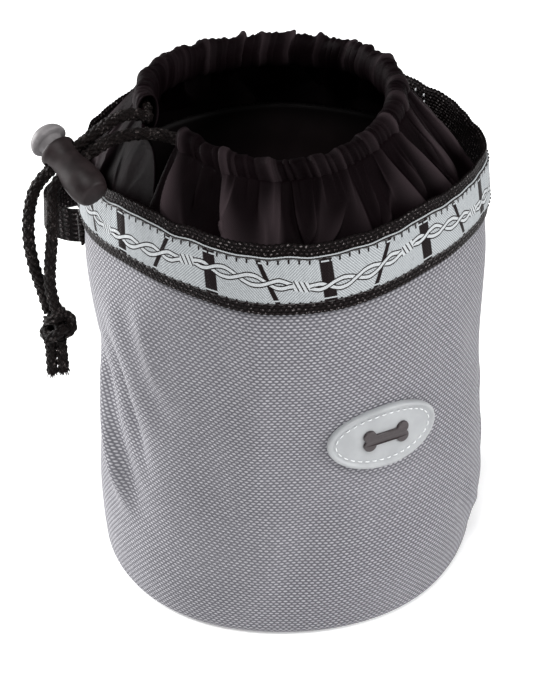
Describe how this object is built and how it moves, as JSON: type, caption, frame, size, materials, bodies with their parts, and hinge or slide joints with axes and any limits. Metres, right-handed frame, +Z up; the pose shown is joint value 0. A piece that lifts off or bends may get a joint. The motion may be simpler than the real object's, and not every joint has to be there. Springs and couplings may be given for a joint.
{
  "type": "treat pouch",
  "caption": "Round grey fabric treat pouch with a gathered nylon collar closed by a drawcord and a spring cord lock, a ribbon-trimmed rim band, an oval badge and a rear webbing loop.",
  "frame": {"origin": "centre of the base's underside, which rests on the ground", "axes": "+Z up along the pouch's axis; -Y is the side with the badge; +X is to the right seen from the badge's side"},
  "size_m": [0.1455, 0.126, 0.1608],
  "materials": {
    "shell_oxford": "matt coated oxford weave, violet-grey",
    "seam_tape": "black woven tape",
    "lining_nylon": "black coated nylon",
    "black_webbing": "coarse black webbing",
    "jacquard_ribbon": "silver and black jacquard weave",
    "black_thread": "black polyester thread",
    "light_thread": "white polyester thread",
    "collar_nylon": "thin black nylon with a soft sheen",
    "badge_pvc": "satin soft PVC, pale grey",
    "bone_pvc": "satin soft PVC, dark grey",
    "braided_cord": "black braided polyester",
    "lock_plastic": "satin charcoal nylon",
    "spring_steel": "plain drawn wire"
  },
  "bodies": {
    "pouch": {"body_wall": "shell_oxford", "base_panel": "shell_oxford", "base_seam_tape": "seam_tape", "lining_wall": "lining_nylon", "lining_base": "lining_nylon", "rim_band": "black_webbing", "belt_loop": "black_webbing", "rim_ribbon": "jacquard_ribbon", "ribbon_stitch_lower": "black_thread", "ribbon_stitch_upper": "black_thread", "loop_bartack_front": "black_thread", "loop_bartack_rear": "black_thread", "band_join_stitching": "light_thread", "badge_stitching": "light_thread", "collar": "collar_nylon", "collar_hem": "collar_nylon", "badge_plate": "badge_pvc", "badge_bone": "bone_pvc", "drawcord_channel_run": "braided_cord", "drawcord_lead_upper": "braided_cord", "drawcord_lead_lower": "braided_cord", "drawcord_tail_left": "braided_cord", "drawcord_tail_right": "braided_cord", "drawcord_knot": "braided_cord", "drawcord_ends": "braided_cord"},
    "cord_lock": {"lock_barrel": "lock_plastic", "lock_spring": "spring_steel"},
    "lock_button": {"lock_plunger": "lock_plastic"}
  },
  "joints": [
    {"name": "cord_lock_slide", "type": "slide", "parent": "pouch", "child": "cord_lock", "axis": [0.8603, -0.0132, 0.5096], "range_m": [-0.006, 0.012], "deforming": ["drawcord_lead_upper", "drawcord_lead_lower", "drawcord_tail_left", "drawcord_tail_right"]},
    {"name": "button_press", "type": "slide", "parent": "cord_lock", "child": "lock_button", "axis": [0.2627, -0.8451, -0.4655], "range_m": [0, 0.003], "stiffness_N_per_m": 600, "springref_m": -0.003, "deforming": ["lock_spring"]}
  ]
}
